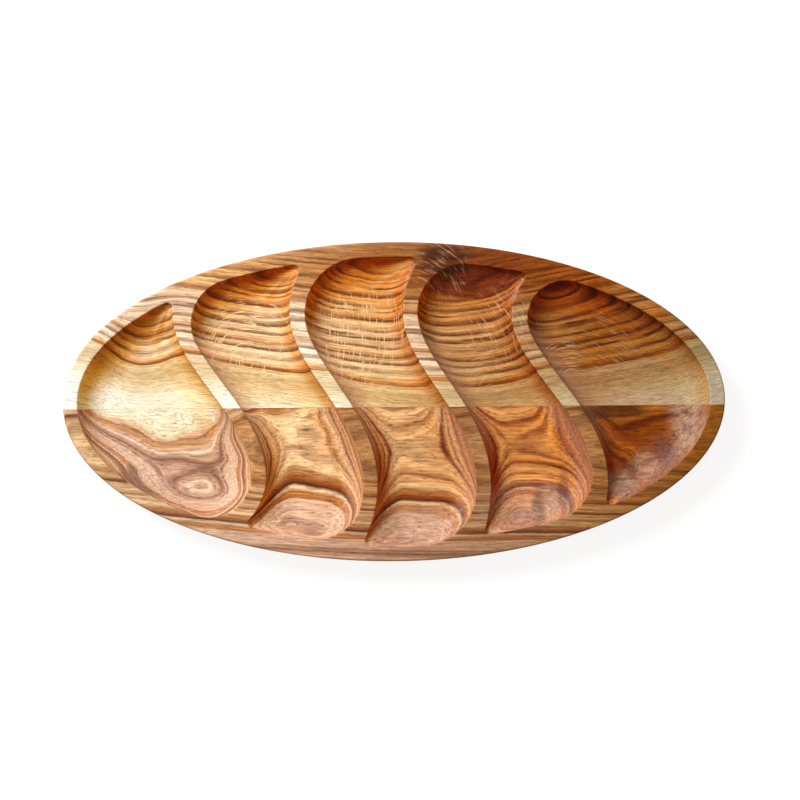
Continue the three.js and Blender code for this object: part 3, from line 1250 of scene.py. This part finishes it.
@dataclass
class TrayPiece:
    """One glued-up piece of the tray, parted from the carved blank along the joint.

    Attributes:
        name: The piece's name.
        node: The solid that it stands for.
        slot: Name of a material slot; not used.
        cut: Which part of the blank it is.
        finish: What it is dressed in.
        crease: Angle from which an edge stays sharp.
    """

    name: str
    node: str
    slot: str
    cut: Cut
    finish: WoodFinish | GlueFinish
    crease: float = math.radians(40)

    def build(self, blank: bmesh.types.BMesh) -> bpy.types.Object:
        """Parts the piece from the blank and dresses it.

        Args:
            blank: The carved blank, which stays whole.

        Returns:
            The finished piece, riding on the tray.
        """
        mesh = blank.copy()
        low, high = (corner.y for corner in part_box("glue_line"))
        if self.cut is not Cut.FRONT:
            self.part(mesh, high if self.cut is Cut.BACK else low, keep_above=True)
        if self.cut is not Cut.BACK:
            self.part(mesh, low if self.cut is Cut.FRONT else high, keep_above=False)
        bmesh.ops.recalc_face_normals(mesh, faces=mesh.faces[:])
        piece = show(self.name, mesh, self.finish.material())
        piece.data.shade_smooth()
        piece.data.set_sharp_from_angle(angle=self.crease)
        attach(piece, "root")
        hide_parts(self.node)
        return piece

    @staticmethod
    def part(mesh: bmesh.types.BMesh, y: float, keep_above: bool) -> None:
        """Cuts a mesh across the tray and closes the cut.

        Args:
            mesh: The mesh to cut.
            y: Where the cut lies, in metres.
            keep_above: Whether the half towards +Y is kept.
        """
        everything = mesh.verts[:] + mesh.edges[:] + mesh.faces[:]
        cut = bmesh.ops.bisect_plane(mesh, geom=everything, plane_co=(0, y, 0), plane_no=(0, 1, 0),
                                     clear_inner=keep_above, clear_outer=not keep_above)
        edges = [item for item in cut["geom_cut"] if isinstance(item, bmesh.types.BMEdge)]
        bmesh.ops.triangle_fill(mesh, use_beauty=True, edges=edges)


@dataclass
class ServingTray:
    """The tray: its form, and the boards and glue that it is made of."""

    form: TrayForm
    pieces: Sequence[TrayPiece]

    def build(self) -> None:
        """Carves the blank, parts it into its pieces and logs each one."""
        blank = CarvedBlank(self.form).build()
        for piece in self.pieces:
            made = piece.build(blank)
            LOG.info("%s: %d faces, stands for %s", made.name, len(made.data.polygons), piece.node)
        blank.free()


@dataclass
class Lamp:
    """A square softbox that faces the tray.

    Attributes:
        name: The lamp's name.
        place: Where it hangs, in metres.
        size: Length of its side, in metres.
        light: Brightness that it gives a white card lying flat on the tray.
        colour: Colour of its light.
    """

    name: str
    place: tuple[float, float, float]
    size: float
    light: float
    colour: Colour = (1.0, 1.0, 1.0)

    def hang(self) -> None:
        """Makes the lamp, with the power that its distance and slant call for."""
        away = Vector(self.place)
        data = bpy.data.lights.new(self.name, "AREA")
        data.size = self.size
        data.color = self.colour
        data.energy = self.light * math.pi ** 2 * away.length_squared * away.length / away.z
        lamp = bpy.data.objects.new(self.name, data)
        lamp.location = away
        lamp.rotation_euler = away.to_track_quat("Z", "Y").to_euler()
        bpy.context.scene.collection.objects.link(lamp)


@dataclass
class Studio:
    """The floor, the lamps and the camera that looks straight down on the tray.

    Attributes:
        form: The tray's form.
        image_pixels: Width of the picture.
        pixel: Size of one pixel on the tray's top, in millimetres.
        middle: The pixel that the tray's middle falls on.
        turn: How far the tray is turned in the picture, in radians.
        height: Height of the camera above the tray's top, in millimetres.
        sensor: Width of the camera's sensor, in millimetres.
        floor_size, floor_cells: Side of the floor, in metres, and how many cells it has along one.
        ambient, ambient_colour: Strength and colour of the room's own light.
        paper: What the floor is dressed in.
        lamps: The lamps.
    """

    form: TrayForm
    image_pixels: int = 800
    pixel: float = 0.6256
    middle: tuple[float, float] = (393.8, 401.7)
    turn: float = 0.0081
    height: float = 900.0
    sensor: float = 36.0
    floor_size: float = 6.0
    floor_cells: int = 8
    ambient: float = 0.35
    ambient_colour: Colour = (1.0, 0.86, 0.68)
    paper: PaperFinish = PaperFinish()
    lamps: tuple[Lamp, ...] = (
        Lamp("key_softbox", (-0.66, 0.66, 0.74), 0.5, 0.7, (0.97, 1.0, 1.1)),
    )

    def build(self) -> None:
        """Sets up the floor, the light and the camera."""
        self.lay_floor()
        for lamp in self.lamps:
            lamp.hang()
            LOG.info("%s: %.2f on a white card", lamp.name, lamp.light)
        self.light_room()
        self.place_camera()
        bpy.context.scene.view_settings.view_transform = "Standard"

    def lay_floor(self) -> None:
        """Lays the paper floor under the tray."""
        mesh, cells = bmesh.new(), self.floor_cells
        bmesh.ops.create_grid(mesh, x_segments=cells, y_segments=cells, size=self.floor_size / 2)
        floor = show("paper_floor", mesh, self.paper.material())

    def light_room(self) -> None:
        """Gives the room an even warm light, which the camera sees as white."""
        world = bpy.data.worlds.new("white_room")
        world.use_nodes = True
        sheet = NodeSheet(world.node_tree)
        light = [self.ambient * part for part in self.ambient_colour]
        shown = sheet.mix(sheet.seen(), light, (1.0, 1.0, 1.0))
        sheet.feed(world.node_tree.nodes["Background"].inputs["Color"], shown)
        bpy.context.scene.world = world

    def place_camera(self) -> None:
        """Hangs the camera over the tray, so that the tray's middle falls on its pixel."""
        data = bpy.data.cameras.new("overhead_camera")
        data.sensor_width = self.sensor
        data.lens = self.sensor * self.height / (self.image_pixels * self.pixel)
        half = self.image_pixels / 2
        right, up = (half - self.middle[0]) * self.pixel, (self.middle[1] - half) * self.pixel
        cos, sin = math.cos(-self.turn), math.sin(-self.turn)
        camera = bpy.data.objects.new("overhead_camera", data)
        camera.location = Vector((right * cos - up * sin, right * sin + up * cos,
                                  self.form.thickness + self.height)) * MM
        camera.rotation_euler = (0, 0, -self.turn)
        bpy.context.scene.collection.objects.link(camera)
        bpy.context.scene.camera = camera


BACK_WOOD = WoodFinish(
    name="back_board_wood",
    growth=Growth(pith_y=135.6, pith_z=-32.5, dip=-0.059, bow=0.168, bow_x=36.0, bow_round=27.0),
    layers=(
        Layer(66, "e4bc92"), Layer(76, "e0a86c"), Layer(86, "e8b070"), Layer(92, "eebe84"),
        Layer(96, "d89e66"), Layer(100, "f4d0a8"), Layer(112, "f6dab8"), Layer(119, "e4b684"),
        Layer(122, "f6dcbc"), Layer(130, "f6dcba"), Layer(133.5, "d8984e"), Layer(136, "e6c896"),
        Layer(138, "e6d0a4"), Layer(140.5, "d4b88a"), Layer(145, "dcc294"), Layer(152, "f0dfba"),
        Layer(158, "fcf4dc"), Layer(176, "fdf8ea"),
    ),
    rings=(
        Ring(84.0, 3.0, 0.9), Ring(90.0, 2.4, 0.85), Ring(97.5, 3.0, 0.95), Ring(103.2, 2.8, 0.95),
        Ring(108.5, 3.0, 0.95), Ring(113.5, 2.2, 0.85), Ring(119.0, 2.4, 0.9), Ring(123.0, 2.4, 0.95),
        Ring(128.0, 2.4, 0.95), Ring(134.6, 1.8, 0.85),
    ),
    ring_tint="6a3010",
    # Tints along the tray: partly oiling and age, partly painted light that is brighter towards the left
    # end, with a painted sheen greying the flat top
    oil_and_light=(
        OilAndLight(-200, (1.0, 1.0, 1.0), (1.0, 1.0, 1.0), (1.0, 0.8, 0.42)),
        OilAndLight(-120, (1.14, 0.98, 0.68), (1.2, 1.15, 1.08), (0.9, 0.62, 0.24), (0.92, 0.93, 0.9)),
        OilAndLight(-70, (1.24, 1.15, 0.9), (1.36, 1.48, 1.55), (0.8, 0.48, 0.12), (0.63, 0.54, 0.46)),
        OilAndLight(-15, (1.18, 1.02, 0.68), (1.34, 1.4, 1.4), (0.74, 0.38, 0.08), (0.43, 0.27, 0.14)),
        OilAndLight(60, (0.78, 0.51, 0.24), (0.86, 0.68, 0.5), (0.76, 0.42, 0.08), (0.4, 0.26, 0.1)),
        OilAndLight(130, (0.51, 0.22, 0.03), (0.54, 0.4, 0.18), (0.78, 0.36, 0.05), (0.95, 0.55, 0.2)),
        OilAndLight(165, (0.5, 0.29, 0.09), (0.66, 0.34, 0.09), (0.82, 0.5, 0.2)),
        OilAndLight(190, (0.5, 0.34, 0.13), (0.46, 0.37, 0.24), (0.85, 0.6, 0.3)),
    ),
    patches=(
        Patch(52, 84, 38, 21, "8c3812", "561c08", swirl=3.0, share=0.95, last_ring=82.5, top=0.5),
        Patch(32, 88, 15, 11, "5a2c12", "3e1c0a", swirl=2.0, share=0.8, blend=0.4),
    ),
    swells=(Swell(-163, 30, 32, 90, -8.5),),
    scratches=(
        Scratches(-92, 43, 34, -93, 26, 0.95),
        Scratches(-22, 42, 38, -220, 44, 0.8),
        Scratches(68, 48, 28, -10, 2, 0.34),
        Scratches(56, 20, 18, 62, 2, 0.4),
        Scratches(106, 28, 16, 113, 10, 0.5),
        Scratches(132, 32, 32, 74, -76, 0.16),
        Scratches(30, 82, 26, 10, 60, 0.26),
    ),
    sap_radius=135.0,
)
FRONT_WOOD = WoodFinish(
    name="front_board_wood",
    growth=Growth(
        pith_y=-30.0, pith_z=85.0, dip=-0.039, bow=0.05, bow_x=-8.0, bow_round=66.0,
        wander=0.45, tooth=0.1, year=1.4,
    ),
    layers=(
        Layer(57, "d8a264"), Layer(62, "e0b078"), Layer(66.0, "d09858"), Layer(66.8, "8a4e20"),
        Layer(67.6, "dca86c"), Layer(70.0, "d89a58"), Layer(71.6, "b87438"), Layer(73.2, "ecbe84"),
        Layer(74.8, "e0aa70"), Layer(75.6, "a8683a"), Layer(76.6, "f0c896"), Layer(78.4, "e4ae76"),
        Layer(79.6, "fad4a2"), Layer(80.5, "f8cc96"), Layer(81.4, "b87a44"), Layer(82.2, "a45e2e"),
        Layer(83.2, "743814"), Layer(83.9, "f4d8b2"), Layer(84.8, "c88648"), Layer(85.9, "be7c42"),
        # The pinkish layers from 86.7 to 90.4 fall on the lower ends of the second and third pockets, which
        # face the lamp; there they are partly the wood's tone and partly painted sheen
        Layer(86.7, "e8bc94"), Layer(87.6, "e6c2a6"), Layer(90.4, "e2bc9c"), Layer(91.4, "c4987e"),
        Layer(92.4, "a67a64"), Layer(93.4, "d0a484"), Layer(94.4, "f2d2b6"), Layer(95.8, "d8a474"),
        Layer(97.0, "cc9462"), Layer(98.0, "d4a07a"), Layer(99.0, "f0d0a0"), Layer(101.0, "f8eac6"),
    ),
    rings=(
        Ring(62.3, 0.8, 0.75), Ring(64.4, 0.7, 0.7), Ring(68.6, 0.8, 0.7), Ring(71.9, 0.9, 0.7),
        Ring(74.2, 0.8, 0.6), Ring(75.7, 0.8, 0.7), Ring(78.4, 0.8, 0.5), Ring(83.3, 0.9, 0.7),
        Ring(92.3, 0.7, 0.25),
    ),
    ring_tint="6e3418",
    # Tints along the tray: partly oiling and age, partly painted light that is brighter towards the left
    # end, with a painted sheen greying the flat top
    oil_and_light=(
        OilAndLight(-200, (1.0, 1.0, 1.0), (0.92, 0.97, 1.0), (0.86, 0.68, 0.46)),
        OilAndLight(-60, (1.16, 1.1, 1.0), (1.0, 0.92, 0.86), (0.84, 0.56, 0.26)),
        OilAndLight(20, (1.02, 0.87, 0.66), (0.68, 0.56, 0.5), (0.72, 0.26, 0.06)),
        OilAndLight(95, (1.08, 0.7, 0.36), (0.68, 0.56, 0.44), (0.58, 0.16, 0.02)),
        OilAndLight(150, (0.64, 0.33, 0.06), (0.6, 0.44, 0.26), (0.58, 0.14, 0.02)),
        OilAndLight(190, (0.5, 0.26, 0.08), (0.48, 0.29, 0.06), (0.85, 0.6, 0.4)),
    ),
    patches=(
        # The pale patches at (16, -78), (80, -66), (185, -12), (159, -42), (142, -53) and (98, -63) are
        # painted sheen on lower ends and right walls that face the lamp
        Patch(16, -78, 24, 12, "cca48e", "b48c78", share=0.5, blend=0.4),
        Patch(80, -66, 28, 13, "d0aa94", "b08872", share=0.3, blend=0.4),
        Patch(185, -12, 9, 24, "c8a080", "6e4830", share=0.75, blend=0.6, top=0.0),
        Patch(138, -7, 22, 4.5, "5a2808", "482006", share=0.85),
        Patch(170, -32, 7, 9, "6a443c", "50302c", share=0.7, blend=0.45, top=0.0),
        Patch(159, -42, 8, 9, "b48c70", "8a6248", share=0.7, blend=0.45, top=0.0),
        Patch(150, -47, 4, 8, "6e483c", "58382e", share=0.5, blend=0.45, top=0.0),
        Patch(142, -53, 10, 8, "bc9a80", "96705a", share=0.8, blend=0.45, top=0.0),
        Patch(98, -63, 8, 10, "cca48e", "b48c78", share=0.6, blend=0.4, top=0.0),
        Patch(91, -69, 4.5, 11, "5e3a32", "4c2e28", share=0.65, blend=0.4, top=0.0),
        Patch(107, -58, 4.5, 11, "5e3a32", "4c2e28", share=0.6, blend=0.4, top=0.0),
        Patch(-155, -48, 20, 12, "5e361e", "7c4e32", share=0.85, blend=0.35, last_ring=86.5, top=0.0),
    ),
    swells=(
        Swell(-172, 14, 98, 58, 21.2), Swell(-122, -26, 46, 30, 2.1), Swell(-116, -54, 36, 16, 8.0),
        Swell(-146, -44, 44, 30, 7.3), Swell(-130, -10, 40, 30, 7.2), Swell(-110, -34, 34, 20, 9.1),
        Swell(-150, -22, 44, 22, 6.2), Swell(-106, 0, 24, 24, 14.5), Swell(-114, -18, 24, 16, 4.8),
        Swell(-56, -75, 50, 55, 1.4), Swell(-50, 0, 56, 26, -2.8), Swell(88, -76, 56, 46, 9.0),
        Swell(145, -42, 20, 20, -5.5),
    ),
    top_swell=0.1,
    right_wall=0.25,
    right_wall_sheen=0.28,
    sap_radius=98.5,
    calm=0.2,
    sheen_share=0.33,
    year_share=0.55,
)


def main() -> None:
    """Builds the tray and its studio, in order."""
    logging.basicConfig(level=logging.INFO, format="%(name)s: %(message)s")
    low, high = CAD_BOX
    length, width, thickness = (high - low) / MM
    form = TrayForm(length, width, thickness)
    tray = ServingTray(form, (
        TrayPiece("back_board_carved", "back_board", "back_wood", Cut.BACK, BACK_WOOD),
        TrayPiece("front_board_carved", "front_board", "front_wood", Cut.FRONT, FRONT_WOOD),
        TrayPiece("glue_film", "glue_line", "glue", Cut.BETWEEN, GlueFinish()),
    ))
    tray.build()
    Studio(form).build()


if __name__ == "__main__":
    main()
